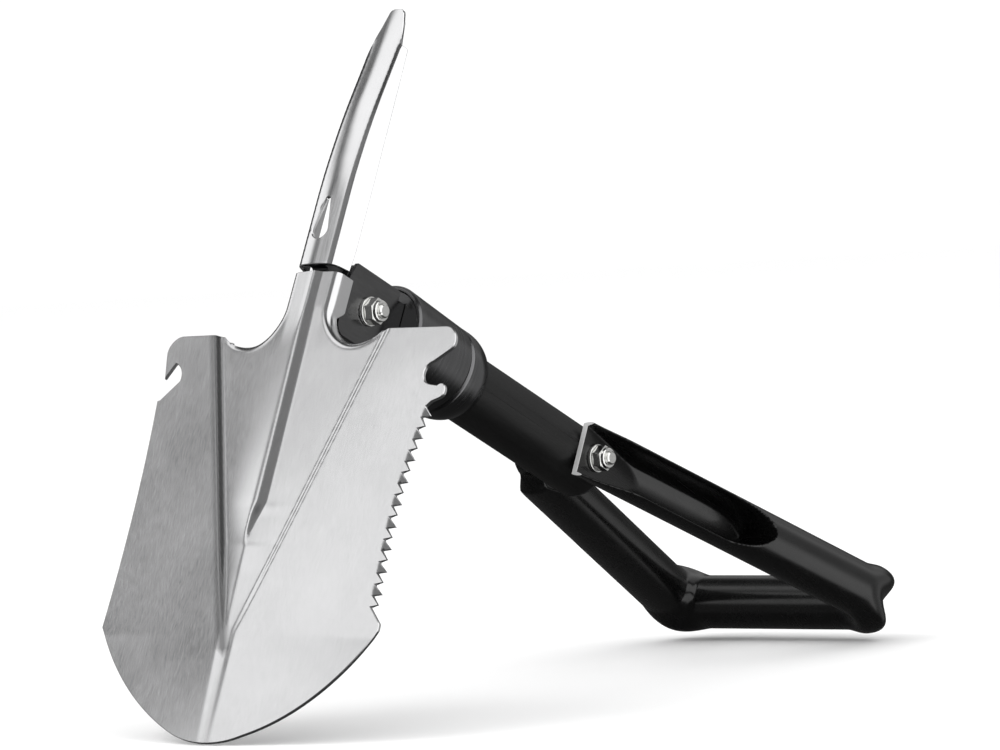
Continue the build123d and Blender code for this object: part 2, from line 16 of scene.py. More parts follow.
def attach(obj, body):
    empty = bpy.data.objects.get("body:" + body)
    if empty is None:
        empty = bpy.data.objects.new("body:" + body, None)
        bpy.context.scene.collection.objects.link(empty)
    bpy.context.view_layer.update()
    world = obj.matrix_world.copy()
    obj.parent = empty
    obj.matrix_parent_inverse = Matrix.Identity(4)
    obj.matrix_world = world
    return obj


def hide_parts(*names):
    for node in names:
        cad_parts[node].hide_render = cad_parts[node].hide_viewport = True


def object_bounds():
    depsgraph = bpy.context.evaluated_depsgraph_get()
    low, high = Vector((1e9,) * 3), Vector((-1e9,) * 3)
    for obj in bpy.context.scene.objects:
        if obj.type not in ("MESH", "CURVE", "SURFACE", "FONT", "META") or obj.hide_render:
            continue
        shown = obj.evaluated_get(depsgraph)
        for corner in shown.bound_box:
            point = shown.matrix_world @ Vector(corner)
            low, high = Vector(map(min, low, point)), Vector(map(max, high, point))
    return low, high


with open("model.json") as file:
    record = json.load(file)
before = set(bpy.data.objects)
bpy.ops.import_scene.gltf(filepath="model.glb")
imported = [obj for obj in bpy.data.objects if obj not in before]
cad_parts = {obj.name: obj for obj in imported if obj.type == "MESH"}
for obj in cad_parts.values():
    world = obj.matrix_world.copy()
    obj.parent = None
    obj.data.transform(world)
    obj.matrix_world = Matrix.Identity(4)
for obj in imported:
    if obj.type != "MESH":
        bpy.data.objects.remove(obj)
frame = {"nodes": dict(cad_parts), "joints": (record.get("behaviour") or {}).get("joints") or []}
cad_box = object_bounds()

MM = 0.001
joints = {joint["name"]: joint for joint in frame["joints"]}
HEAD = Vector(joints["pick_fold"]["pos_m"])
SHAFT_WAY = -Vector(joints["collar_travel"]["axis"])
TOOL = Matrix((
    (1, 0, 0, 0),
    (0, SHAFT_WAY.y, -SHAFT_WAY.z, 0),
    (0, SHAFT_WAY.z, SHAFT_WAY.y, 0),
    (0, 0, 0, 1),
))
TOOL = Matrix.Translation(HEAD) @ TOOL @ Matrix.Scale(MM, 4)
TILT = math.atan2(SHAFT_WAY.z, SHAFT_WAY.y)


def tool_place(point_m):
    """A row-frame point in the tool frame, in millimetres."""
    return TOOL.inverted() @ Vector(point_m)


PIVOT = tool_place(joints["handle_fold"]["pos_m"])

# --- dimensions, mm. Most are the CAD's; the neck's flanges and slimmer side are not ---------
SHEET = 1.8
CHAMFER = 0.28
NECK_HALF = 13.0
NECK_TOP = 7.0
BEND = 3.5                  # outer bend radius of the neck's flanges
NECK_FLANGE = 12.2          # unrolled flange beyond the bend line, at the top of the neck
FLANGE = 7.7                # and just below it
FLANGE_REACH = 13.5         # no flange reaches further than this from its bend line
NECK_SLIM = 1.2             # how much closer to the rib the neck's right side is than its left
BLADE_TOP = -20.2
TIP_Z = -198.0
HALF_WIDTH = 75.0
CORNER_Z = -148.0
TOOTH_PITCH = 4.68
TOOTH_COUNT = 18
TOOTH_DEPTH = 4.0
SAW_TOP = -54.5
PICK_BASE = 9.0
PICK_TIP = 131.5
TUBE_R = 12.5
EAR_IN = 15.3
EAR_OUT = 17.6
EAR_START = 144.5
ARM_X = 18.9
CORNER_X = 59.2
CORNER_Y = 329.1
BEND_R = 16.0
NORMAL_STEP = 0.05          # how far apart two points are taken to find a sheet's direction


# --- outlines in the plane ----------------------------------------------------
class Outline:
    """A line in the plane made of straight runs and arcs, sampled every step mm."""

    def __init__(self, start, step=0.9):
        self.points = [np.array(start, float)]
        self.step = step

    def line(self, *targets):
        for target in targets:
            start, end = self.points[-1], np.array(target, float)
            count = max(1, round(np.linalg.norm(end - start) / self.step))
            self.points += [start + (end - start) * i / count for i in range(1, count + 1)]
        return self

    def arc(self, through, end):
        a, b, c = self.points[-1], np.array(through, float), np.array(end, float)
        matrix = 2 * np.array([b - a, c - a])
        centre = np.linalg.solve(matrix, [b @ b - a @ a, c @ c - a @ a])
        angles = [math.atan2(*(p - centre)[::-1]) for p in (a, b, c)]
        turn_b = (angles[1] - angles[0]) % math.tau
        turn_c = (angles[2] - angles[0]) % math.tau
        turn = turn_c if turn_b <= turn_c else turn_c - math.tau
        radius = np.linalg.norm(a - centre)
        count = max(2, round(abs(turn) * radius / self.step))
        for i in range(1, count + 1):
            angle = angles[0] + turn * i / count
            self.points.append(centre + radius * np.array([math.cos(angle), math.sin(angle)]))
        return self

    def array(self):
        return np.array(self.points)


def normals_of(points, closed=True):
    """Unit normals to the left of a line's direction, and the mitre at each point."""
    if closed:
        before, after = np.roll(points, 1, 0), np.roll(points, -1, 0)
    else:
        before = np.vstack([points[:1] * 2 - points[1:2], points[:-1]])
        after = np.vstack([points[1:], points[-1:] * 2 - points[-2:-1]])
    first = points - before
    second = after - points
    first /= np.linalg.norm(first, axis=1, keepdims=True) + 1e-12
    second /= np.linalg.norm(second, axis=1, keepdims=True) + 1e-12
    left_a = np.stack([-first[:, 1], first[:, 0]], 1)
    left_b = np.stack([-second[:, 1], second[:, 0]], 1)
    total = left_a + left_b
    size = np.linalg.norm(total, axis=1, keepdims=True)
    unit = total / np.maximum(size, 1e-9)
    mitre = 1 / np.clip((unit * left_a).sum(1), 0.35, 1)
    return unit, mitre


def inside(points, polygon):
    """Which points lie inside a closed polygon."""
    x, y = points[:, 0][:, None], points[:, 1][:, None]
    x1, y1 = polygon[:, 0], polygon[:, 1]
    x2, y2 = np.roll(x1, -1), np.roll(y1, -1)
    crosses = ((y1 > y) != (y2 > y)) & (x < (x2 - x1) * (y - y1) / (y2 - y1 + 1e-15) + x1)
    return crosses.sum(1) % 2 == 1


def distance_to(points, polygon):
    """Distance from each point to the nearest sampled point of a polygon."""
    best = np.full(len(points), 1e9)
    for start in range(0, len(polygon), 200):
        part = polygon[start:start + 200]
        gap = np.linalg.norm(points[:, None, :] - part[None], axis=2).min(1)
        best = np.minimum(best, gap)
    return best


def new_object(name, vertices, faces, material, sharp_deg=32.0):
    """A mesh object, given in tool-frame millimetres, standing in the row frame."""
    mesh = bpy.data.meshes.new(name)
    mesh.from_pydata([tuple(v) for v in vertices], [], [tuple(f) for f in faces])
    mesh.transform(TOOL)
    mesh.validate()
    mesh.update()
    mesh.polygons.foreach_set("use_smooth", [True] * len(mesh.polygons))
    mesh.set_sharp_from_angle(angle=math.radians(sharp_deg))
    piece = bpy.data.objects.new(name, mesh)
    bpy.context.scene.collection.objects.link(piece)
    mesh.materials.append(material)
    return piece


def inset_loop(loop, hole):
    """A loop with the sheet on its left, and the same loop moved in by the chamfer."""
    area = 0.5 * np.sum(loop[:, 0] * np.roll(loop[:, 1], -1) - np.roll(loop[:, 0], -1) * loop[:, 1])
    if (area > 0) == hole:
        loop = loop[::-1]
    unit, mitre = normals_of(loop)
    return loop, loop + unit * (CHAMFER * mitre)[:, None]


def on_sheet(points, loops):
    """Which points lie inside the outline and outside its holes."""
    found = inside(points, loops[0][1])
    for _, inset in loops[1:]:
        found &= ~inside(points, inset)
    return found


def fill_points(loops, spacing):
    """A triangular grid of points on the sheet, clear of its edges."""
    low, high = loops[0][1].min(0), loops[0][1].max(0)
    rows = []
    for j, v in enumerate(np.arange(low[1] + spacing / 2, high[1], spacing * 0.866)):
        shift = spacing / 2 if j % 2 else 0
        rows += [(u, v) for u in np.arange(low[0] + shift, high[0], spacing)]
    grid = np.array(rows)
    grid = grid[on_sheet(grid, loops)]
    every = np.vstack([inset for _, inset in loops])
    return grid[distance_to(grid, every) > spacing * 0.5]


def triangulate(loops, grid):
    """The flat sheet's points and triangles, and the new index of each point that went in."""
    points, edges = [], []
    for _, inset in loops:
        base = len(points)
        points += [tuple(p) for p in inset]
        edges += [(base + i, base + (i + 1) % len(inset)) for i in range(len(inset))]
    points += [tuple(p) for p in grid]
    out = delaunay_2d_cdt([Vector(p) for p in points], edges, [], 0, 1e-5, True)
    flat = np.array([tuple(v) for v in out[0]])
    triangles = np.array(out[2])
    triangles = triangles[on_sheet(flat[triangles].mean(1), loops)]
    new_of = {old: new for new, olds in enumerate(out[3]) for old in olds}
    return flat, triangles, new_of


def sheet_normals(place, flat, folded):
    """Unit normals of the folded sheet at some of its flat points."""
    along_u = place(flat + [NORMAL_STEP, 0]) - folded
    along_v = place(flat + [0, NORMAL_STEP]) - folded
    normal = np.cross(along_v, along_u)
    return normal / np.linalg.norm(normal, axis=1, keepdims=True)


def add_rim(vertices, faces, loop, seam, surface, place, thickness, outward):
    """Adds a loop's edge: a wall, with a chamfer up to the front and one down to the back.

    seam holds the loop's indices in the front surface, and surface its normals.
    """
    rim = place(loop)
    normal = sheet_normals(place, loop, rim)
    if (normal * surface[seam]).sum() < 0:
        normal = -normal
    size = thickness(loop)[:, None]
    cut = np.minimum(CHAMFER, size * 0.3)
    base, n, behind = len(vertices), len(loop), len(surface)
    vertices += [*(rim - normal * cut), *(rim - normal * (size - cut))]
    for i in range(n):
        j = (i + 1) % n
        quads = [
            (seam[i], base + i, base + j, seam[j]),
            (base + i, base + n + i, base + n + j, base + j),
            (base + n + i, behind + seam[i], behind + seam[j], base + n + j),
        ]
        faces += quads if outward else [q[::-1] for q in quads]


def folded_sheet(name, outline, holes, place, thickness, spacing, material):
    """A sheet cut to an outline in the plane, folded by place(), with chamfered edges all round."""
    loops = [inset_loop(loop, k > 0) for k, loop in enumerate([outline, *holes])]
    flat, triangles, new_of = triangulate(loops, fill_points(loops, spacing))
    front = place(flat)
    normal = sheet_normals(place, flat, front)
    if normal[:, 1].mean() > 0:
        normal = -normal
    back = front - normal * thickness(flat)[:, None]
    vertices = [*front, *back]
    a, b, c = (front[triangles[:, k]] for k in range(3))
    facing = (np.cross(b - a, c - a) * normal[triangles[:, 0]]).sum(1)
    faces = [tuple(t) if f > 0 else tuple(t[::-1]) for t, f in zip(triangles, facing)]
    faces += [tuple(len(flat) + i for i in t[::-1]) for t in faces]
    outward = (facing > 0).mean() > 0.5
    start = 0
    for loop, _ in loops:
        seam = [new_of[start + i] for i in range(len(loop))]
        add_rim(vertices, faces, loop, seam, normal, place, thickness, outward)
        start += len(loop)
    return new_object(name, vertices, faces, material)


def without_doubles(points):
    """A closed line without points that stand on the one before."""
    gaps = np.linalg.norm(points - np.roll(points, 1, 0), axis=1)
    return points[gaps > 0.05]


# --- materials ----------------------------------------------------------------
def nodes_of(name):
    material = bpy.data.materials.new(name)
    material.use_nodes = True
    tree = material.node_tree
    shader = tree.nodes["Principled BSDF"]
    return material, tree, shader


def tool_coordinates(tree):
    """Texture coordinates in tool-frame millimetres, which move with each body."""
    where = tree.nodes.new("ShaderNodeTexCoord")
    mapping = tree.nodes.new("ShaderNodeMapping")
    mapping.vector_type = "TEXTURE"
    mapping.inputs["Location"].default_value = HEAD
    mapping.inputs["Rotation"].default_value = (TILT, 0, 0)
    mapping.inputs["Scale"].default_value = (MM, MM, MM)
    tree.links.new(where.outputs["Object"], mapping.inputs["Vector"])
    return mapping.outputs["Vector"]


def noise(tree, vector, stretch, scale, detail=3.0, roughness=0.6):
    """Noise over coordinates squeezed by stretch: small numbers give long streaks."""
    mapping = tree.nodes.new("ShaderNodeMapping")
    mapping.inputs["Scale"].default_value = stretch
    tree.links.new(vector, mapping.inputs["Vector"])
    texture = tree.nodes.new("ShaderNodeTexNoise")
    texture.inputs["Scale"].default_value = scale
    texture.inputs["Detail"].default_value = detail
    texture.inputs["Roughness"].default_value = roughness
    tree.links.new(mapping.outputs["Vector"], texture.inputs["Vector"])
    return texture.outputs["Fac"]


def spread(tree, value, low, high, from_low=0.3, from_high=0.7):
    """Remaps a texture's value to a range."""
    node = tree.nodes.new("ShaderNodeMapRange")
    node.inputs["From Min"].default_value = from_low
    node.inputs["From Max"].default_value = from_high
    node.inputs["To Min"].default_value = low
    node.inputs["To Max"].default_value = high
    tree.links.new(value, node.inputs["Value"])
    return node.outputs["Result"]


def maths(tree, operation, a, b):
    node = tree.nodes.new("ShaderNodeMath")
    node.operation = operation
    for socket, value in zip(node.inputs, (a, b)):
        if isinstance(value, (int, float)):
            socket.default_value = value
        else:
            tree.links.new(value, socket)
    return node.outputs["Value"]


def bump(tree, shader, height, distance_mm, strength=1.0):
    node = tree.nodes.new("ShaderNodeBump")
    node.inputs["Distance"].default_value = distance_mm * MM
    node.inputs["Strength"].default_value = strength
    tree.links.new(height, node.inputs["Height"])
    tree.links.new(node.outputs["Normal"], shader.inputs["Normal"])


def shade(tree, value, dark, light):
    """A grey ramp between two shades."""
    node = tree.nodes.new("ShaderNodeMix")
    node.data_type = "RGBA"
    node.inputs["A"].default_value = (*dark, 1)
    node.inputs["B"].default_value = (*light, 1)
    tree.links.new(value, node.inputs["Factor"])
    return node.outputs["Result"]


def grey(level, tint=(1, 1, 1)):
    return tuple(level * t for t in tint)


# painted shade: the blade's colour is darkened along the bottom of its left crease
CREASE_OUT = 53.6           # the left crease's distance from the middle at height 0
CREASE_LEAN = 0.3317        # and how much that grows for each mm of height
CREASE_FOOT = -158.0        # the height where it ends
CREASE_SHADE_DARKEST = 0.34          # how dark it is at its bottom
CREASE_FADE = (0.8, 4.6)    # the distances from its bottom between which the tint fades out


def crease_shadow(tree, place):
    """A factor that paints shade into the bottom of the blade's left crease, by darkening its colour."""
    split = tree.nodes.new("ShaderNodeSeparateXYZ")
    tree.links.new(place, split.inputs["Vector"])
    crease = maths(tree, "ADD", maths(tree, "MULTIPLY", split.outputs["Z"], CREASE_LEAN), CREASE_OUT)
    gap = maths(tree, "ABSOLUTE", maths(tree, "ADD", split.outputs["X"], crease), 0.0)
    below = maths(tree, "MAXIMUM", maths(tree, "SUBTRACT", CREASE_FOOT, split.outputs["Z"]), 0.0)
    return spread(tree, maths(tree, "ADD", gap, below), CREASE_SHADE_DARKEST, 1.0, *CREASE_FADE)


def brushed_metal(
    name, level, roughness, brush, depth=0.004, variation=0.12, tint=(1, 1, 1.01), shadow=None
):
    """Metal with fine brushing along one direction, faint smears and scattered scratches; shadow, when
    given, multiplies painted shade into its colour.
    """
    material, tree, shader = nodes_of(name)
    place = tool_coordinates(tree)
    fine = noise(tree, place, brush, 3.0, 4.0, 0.7)
    coarse = noise(tree, place, tuple(0.12 + 0.05 * b for b in brush), 0.35, 2.0)
    smear = noise(tree, place, (1, 1, 1), 0.03, 3.0)
    mix = maths(tree, "ADD", maths(tree, "MULTIPLY", fine, 0.6), maths(tree, "MULTIPLY", coarse, 0.4))
    colour = shade(tree, spread(tree, mix, 0, 1), grey(level * (1 - variation), tint), grey(level, tint))
    # painted shade: the colour is multiplied by the shadow factor
    if shadow:
        darker = tree.nodes.new("ShaderNodeMix")
        darker.data_type = "RGBA"
        darker.blend_type = "MULTIPLY"
        darker.inputs["Factor"].default_value = 1.0
        tree.links.new(colour, darker.inputs["A"])
        tree.links.new(shadow(tree, place), darker.inputs["B"])
        colour = darker.outputs["Result"]
    tree.links.new(colour, shader.inputs["Base Color"])
    patches = spread(tree, smear, roughness, roughness * 1.25)
    rough = maths(tree, "ADD", spread(tree, fine, -0.05, 0.05), patches)
    tree.links.new(rough, shader.inputs["Roughness"])
    shader.inputs["Metallic"].default_value = 1.0
    bump(tree, shader, fine, depth)
    return material


def turned_metal(name, level, roughness, ring_mm=0.5, depth=0.006, tint=(1, 1, 1.02)):
    """Metal turned on a lathe: rings round the shaft, with slight smears."""
    material, tree, shader = nodes_of(name)
    place = tool_coordinates(tree)
    rings = noise(tree, place, (0.02, 1 / ring_mm, 0.02), 1.0, 3.0, 0.65)
    smear = noise(tree, place, (1, 1, 1), 0.08, 3.0)
    colour = shade(tree, spread(tree, rings, 0, 1), grey(level * 0.75, tint), grey(level, tint))
    tree.links.new(colour, shader.inputs["Base Color"])
    patches = spread(tree, smear, roughness, roughness * 1.3)
    rough = maths(tree, "ADD", spread(tree, rings, -0.04, 0.04), patches)
    tree.links.new(rough, shader.inputs["Roughness"])
    shader.inputs["Metallic"].default_value = 1.0
    bump(tree, shader, rings, depth)
    return material


def paint(name, level, roughness, grain_mm, depth, specular=0.35, coat=0.0, bare_to=0.0):
    """Painted steel: orange-peel grain, faint rub marks along the tool, bare where y < bare_to."""
    material, tree, shader = nodes_of(name)
    place = tool_coordinates(tree)
    grain = noise(tree, place, (1, 1, 1), 1 / grain_mm, 4.0, 0.55)
    rub = noise(tree, place, (0.9, 0.06, 0.9), 0.5, 4.0, 0.65)
    patch = noise(tree, place, (1, 1, 1), 0.05, 3.0)
    colour = shade(tree, spread(tree, rub, 0, 1), grey(level * 0.8), grey(level * 1.3))
    if bare_to:
        split = tree.nodes.new("ShaderNodeSeparateXYZ")
        tree.links.new(place, split.inputs["Vector"])
        bare = tree.nodes.new("ShaderNodeMix")
        bare.data_type = "RGBA"
        bare.inputs["B"].default_value = (*grey(0.55), 1)
        tree.links.new(maths(tree, "LESS_THAN", split.outputs["Y"], bare_to), bare.inputs["Factor"])
        tree.links.new(colour, bare.inputs["A"])
        colour = bare.outputs["Result"]
    tree.links.new(colour, shader.inputs["Base Color"])
    patches = spread(tree, patch, roughness * 0.9, roughness * 1.15)
    rough = maths(tree, "ADD", spread(tree, rub, -0.04, 0.05), patches)
    tree.links.new(rough, shader.inputs["Roughness"])
    shader.inputs["Specular IOR Level"].default_value = specular
    shader.inputs["Coat Weight"].default_value = coat
    shader.inputs["Coat Roughness"].default_value = 0.12
    bump(tree, shader, grain, depth)
    return material


def plastic(name, colour, roughness, grain_mm=0.3, depth=0.01):
    material, tree, shader = nodes_of(name)
    place = tool_coordinates(tree)
    grain = noise(tree, place, (1, 1, 1), 1 / grain_mm, 2.0)
    mottle = noise(tree, place, (1, 1, 1), 0.4, 3.0)
    dark = tuple(0.82 * c for c in colour)
    tree.links.new(shade(tree, spread(tree, mottle, 0, 1), dark, colour), shader.inputs["Base Color"])
    tree.links.new(spread(tree, mottle, roughness * 0.9, roughness * 1.1), shader.inputs["Roughness"])
    bump(tree, shader, grain, depth)
    return material


# the blade's colour carries painted shade along the bottom of its left crease
BLADE_STEEL = brushed_metal("blade_steel", 0.62, 0.18, (1.1, 1.1, 0.05), 0.0012, 0.04, shadow=crease_shadow)
PICK_STEEL = brushed_metal("pick_steel", 0.70, 0.12, (0.5, 0.5, 0.03))
LUG_STEEL = brushed_metal("lug_steel", 0.10, 0.4, (0.5, 0.06, 0.5), 0.0015)
CHEEK_METAL = brushed_metal("black_nickel", 0.13, 0.17, (0.3, 0.05, 0.3), 0.003, 0.3)
COLLAR_METAL = turned_metal("dark_turned_steel", 0.15, 0.2)
ZINC = brushed_metal("bright_zinc", 0.78, 0.12, (0.4, 0.4, 0.4), 0.006, 0.18, (1, 1, 0.98))
SHAFT_PAINT = paint("satin_black", 0.0045, 0.36, 0.6, 0.02, 0.3)
HANDLE_PAINT = paint("gloss_black", 0.003, 0.24, 1.2, 0.008, 0.32, 0.2, EAR_START + 0.35)
CAP_PLASTIC = plastic("black_plastic", (0.015, 0.015, 0.016), 0.5)
NYLON = plastic("nylon", (0.62, 0.61, 0.58), 0.45)


# --- blade --------------------------------------------------------------------
# the front, from section heights: crease half width and y, depth of the V panel, ridge y, y at 90 mm out
LEVELS = np.array([-205.0, -151.0, -125.0, -113.0, -97.0, -9.0])
CREASE_X = np.array([2.0, 2.8, 11.4, 15.3, 20.7, 49.9])
CREASE_Y = np.array([-19.5, -22.4, -23.15, -23.5, -24.0, -26.7])
RECESS = np.array([0.0, 0.3, 0.9, 1.2, 1.2, 1.2])
RIDGE_Y = np.array([-19.5, -22.2, -22.9, -23.4, -25.0, -27.9])
EDGE_Y = np.array([-17.6, -16.4, -18.3, -19.2, -20.2, -25.6])
EDGE_REACH = 90.0
SHOULDER = 1.15             # half width of the slope down into the V panel
# the rib along the V panel: where its flat top starts and ends, and the foot and height of its right wall
RIB_LEVELS = np.array([-114.0, -107.5, -101.0, -95.0, -73.0, -29.0, -6.0])
RIB_LEFT = np.array([-2.3, -2.9, -3.0, -2.9, -2.2, -1.6, -1.3])
RIB_RIGHT = np.array([-2.6, -2.9, -2.0, 0.0, 0.4, 0.5, 0.3])
RIB_FOOT = np.array([-2.2, -1.6, 0.6, 2.9, 3.2, 3.5, 3.5])
RIB_WALL = np.array([0.0, 0.7, 1.35, 1.7, 1.7, 1.7, 1.7])
FLANK_POWER = 1.5           # how hollow the V panel's left flank is: 1 is straight
SOFTENING = (-0.45, -0.15, 0.15, 0.45)  # sideways shifts whose mean rounds the pressed corners
BLADE_SPACING = 1.25        # between the mesh's points
GROUND_DEPTH = 1.25         # how much is ground off a tooth at its tip


def smooth(t):
    t = np.clip(t, 0, 1)
    return t * t * (3 - 2 * t)


def between(x, x0, x1):
    return np.clip((x - x0) / np.maximum(x1 - x0, 0.05), 0, 1)


def blade_profile(x, z):
    """Height y of the blade's front before its corners are softened."""
    zc = np.clip(z, LEVELS[0], 20.0)
    crease_x, crease_y, recess, ridge_y, edge_y = (
        np.interp(zc, LEVELS, row) for row in (CREASE_X, CREASE_Y, RECESS, RIDGE_Y, EDGE_Y)
    )
    left, right, foot, wall = (
        np.interp(zc, RIB_LEVELS, row) for row in (RIB_LEFT, RIB_RIGHT, RIB_FOOT, RIB_WALL)
    )
    ax = np.abs(x)
    shoulder = np.minimum(SHOULDER, crease_x * 0.4)
    foot_x, foot_y = crease_x - shoulder, crease_y + recess
    wing = crease_y + (edge_y - crease_y) * np.maximum(ax - crease_x - shoulder, 0) / EDGE_REACH
    slope = foot_y + (crease_y - foot_y) * between(ax, foot_x, crease_x + shoulder)
    flank = foot_y + (ridge_y - foot_y) * between(x, -foot_x, left) ** FLANK_POWER
    right_y = ridge_y + wall * between(x, right, foot)
    right_side = right_y + (foot_y - ridge_y - wall) * between(x, foot, foot_x)
    panel = np.where(x < left, flank, right_side)
    body = np.where(ax > crease_x + shoulder, wing, np.where(ax > foot_x, slope, panel))
    # the neck's front: its left facet rises to the rib, its right one lies lower
    neck_left = -26.5 - 1.0 * between(x, -9.5, left)
    neck_right = ridge_y + wall * between(x, right, foot) + 0.25 * between(x, foot, 9.5)
    neck_y = np.where(x < left, neck_left, neck_right)
    neck = smooth((z + 30.0) / 24.0) * smooth((24.0 - ax) / 12.0)
    return body * (1 - neck) + neck_y * neck


def blade_front(x, z):
    """Height y of the blade's front surface."""
    return sum(blade_profile(x + shift, z) for shift in SOFTENING) / len(SOFTENING)


def scallop_line():
    """Right side of the neck and the scallop below it, as seen from the front."""
    return (
        Outline((NECK_HALF, NECK_TOP), 0.6)
        .line((NECK_HALF, -8.4))
        .arc((17.98, -20.42), (30.0, -25.4))
        .arc((37.1, -24.2), (43.0, -20.7))
        .line((47.0, BLADE_TOP))
        .array()
    )


SCALLOP = scallop_line()
along = np.concatenate([[0], np.cumsum(np.linalg.norm(np.diff(SCALLOP, axis=0), axis=1))])
FLANGE_OUT = np.interp(
    along,
    [0, 15.5, 19.5, 22, 50, along[-1]],
    [NECK_FLANGE, NECK_FLANGE, FLANGE, 7.5, 2.2, 0.35],
)
SCALLOP_OUT = -normals_of(SCALLOP, closed=False)[0]
if SCALLOP_OUT[5, 0] < 0:
    SCALLOP_OUT = -SCALLOP_OUT
REACH = BEND * np.sin(np.minimum(FLANGE_OUT / BEND, math.pi / 2))
BEND_LINE = SCALLOP - SCALLOP_OUT * REACH[:, None]
FLANGE_EDGE = BEND_LINE + SCALLOP_OUT * FLANGE_OUT[:, None]


def place_blade(flat):
    """Folds the flat blade: front surface, with the flanges rolled back beside neck and scallops."""
    side = np.where(flat[:, 0] < 0, -1.0, 1.0)
    points = np.stack([np.abs(flat[:, 0]), flat[:, 1]], 1)
    out = points.copy()
    depth = np.zeros(len(points))
    near = np.where((points[:, 0] < 52) & (points[:, 0] > 5) & (points[:, 1] > -36))[0]
    if len(near):
        gap = np.linalg.norm(points[near][:, None] - BEND_LINE[None], axis=2)
        nearest = gap.argmin(1)
        origin, normal = BEND_LINE[nearest], SCALLOP_OUT[nearest]
        offset = points[near] - origin
        beyond = (offset * normal).sum(1)
        use = (beyond > 0) & (gap.min(1) < FLANGE_REACH)
        angle = np.minimum(beyond / BEND, math.pi / 2)
        straight = np.maximum(beyond - BEND * math.pi / 2, 0)
        sideways = offset - beyond[:, None] * normal
        wrapped = origin + sideways + normal * (BEND * np.sin(angle))[:, None]
        back = BEND * (1 - np.cos(angle)) + straight
        out[near[use]] = wrapped[use]
        depth[near[use]] = back[use]
    x = out[:, 0] * side
    x = x - NECK_SLIM * smooth((out[:, 1] + 26.0) / 16.0) * smooth((30.0 - x) / 15.0) * smooth(x / 8.0)
    y = blade_front(x, out[:, 1]) + depth + ground(flat, True)
    return np.stack([x, y, out[:, 1]], 1)


def saw_line(z):
    """Half width of the saw edge's middle line at height z."""
    return 71.0 + 6.7 * (np.maximum(np.asarray(z, float) + 112.0, 0) / 57.5) ** 2


def tooth_points():
    """Roots and tips of the saw, from its top to its foot."""
    points = []
    for tooth in range(TOOTH_COUNT):
        root_z = SAW_TOP - tooth * TOOTH_PITCH
        tip_z = root_z - 0.82 * TOOTH_PITCH
        points.append((float(saw_line(root_z)) - TOOTH_DEPTH / 2, root_z))
        points.append((float(saw_line(tip_z)) + TOOTH_DEPTH / 2, tip_z))
    foot = SAW_TOP - TOOTH_COUNT * TOOTH_PITCH
    points.append((float(saw_line(foot)) - TOOTH_DEPTH / 2, foot))
    return points


def ground(flat, front):
    """How much is ground off the saw's teeth: odd teeth from the front, even ones from the back."""
    tooth = np.floor((SAW_TOP - flat[:, 1]) / TOOTH_PITCH)
    root = saw_line(flat[:, 1]) - TOOTH_DEPTH / 2 + 0.15
    share = np.clip((flat[:, 0] - root) / TOOTH_DEPTH, 0, 1)
    mine = (tooth >= 0) & (tooth < TOOTH_COUNT) & ((tooth % 2 == 0) == front)
    return np.where(mine, share * GROUND_DEPTH, 0.0)


def blade_thickness(flat):
    return SHEET - ground(flat, True) - ground(flat, False)


def blade_outline():
    """The blade, cut flat: from the left of the neck round to the right, and back by the tip."""
    outline = Outline((-47.0, BLADE_TOP))
    outline.points += list(FLANGE_EDGE[-2::-1] * [-1, 1])
    outline.line(FLANGE_EDGE[0])
    outline.points += list(FLANGE_EDGE[1:])
    outline.line((77.6, BLADE_TOP)).arc((82.2, -22.6), (83.8, -27.0)).arc((83.2, -29.0), (81.6, -30.6))
    outline.line((74.6, -35.3)).arc((71.0, -40.9), (75.5, -45.2)).line((79.2, -45.6))
    outline.arc((81.0, -44.7), (82.6, -45.2)).arc((83.7, -47.8), (82.2, -50.7)).line((77.9, -52.4))
    outline.line(*tooth_points())
    outline.line((HALF_WIDTH, -145.5), (HALF_WIDTH, CORNER_Z)).arc((49.1, -178.5), (19.4, -194.2))
    outline.arc((0, TIP_Z), (-19.4, -194.2)).arc((-49.1, -176.0), (-HALF_WIDTH, CORNER_Z))
    outline.arc((-71.3, -98.0), (-72.3, -49.0)).line((-70.8, -48.6), (-61.8, -40.4))
    outline.arc((-62.6, -35.2), (-66.4, -32.4)).line((-70.9, -39.2), (-73.0, -28.0))
    outline.arc((-71.0, -22.6), (-66.0, BLADE_TOP)).line((-47.0, BLADE_TOP))
    return without_doubles(outline.array()[:-1])


def make_blade():
    points = blade_outline()
    piece = folded_sheet(
        "blade_sheet", points, [], place_blade, blade_thickness, BLADE_SPACING, BLADE_STEEL,
    )
    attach(piece, "blade")
    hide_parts("blade")


make_blade()


# --- pick ---------------------------------------------------------------------
PICK_BEND = 5.5             # bend radius beside the flat front
FLAT_HALF = 5.6
PICK_FLARE = math.radians(75)
PICK_CROWN = 0.5
PICK_ARC = PICK_BEND * PICK_FLARE
PICK_SPACING = 1.7          # between the mesh's points
HOLE_BIG = (-1.8, 25.0, 4.2)    # the teardrop's lower round: place and radius
HOLE_SMALL = (-1.4, 38.5, 1.3)


def pick_front(z):
    """Front of the pick in y at height z."""
    levels = [9, 48, 64, 80, 90, 100, 115, 131.5]
    return np.interp(z, levels, [-29.5, -29.6, -28.7, -27.2, -25.8, -24.2, -22.1, -20.0])


def pick_flange_back(z):
    """Back edge of the flanges in y at height z."""
    return np.interp(z, [9, 17, 66, 100, 131.5], [-20.0, -19.4, -19.3, -18.6, -18.2])


def pick_front_smooth(z):
    z = np.asarray(z, float)
    return sum(pick_front(z + shift) for shift in (-8, -5, -2, 0, 2, 5, 8)) / 7


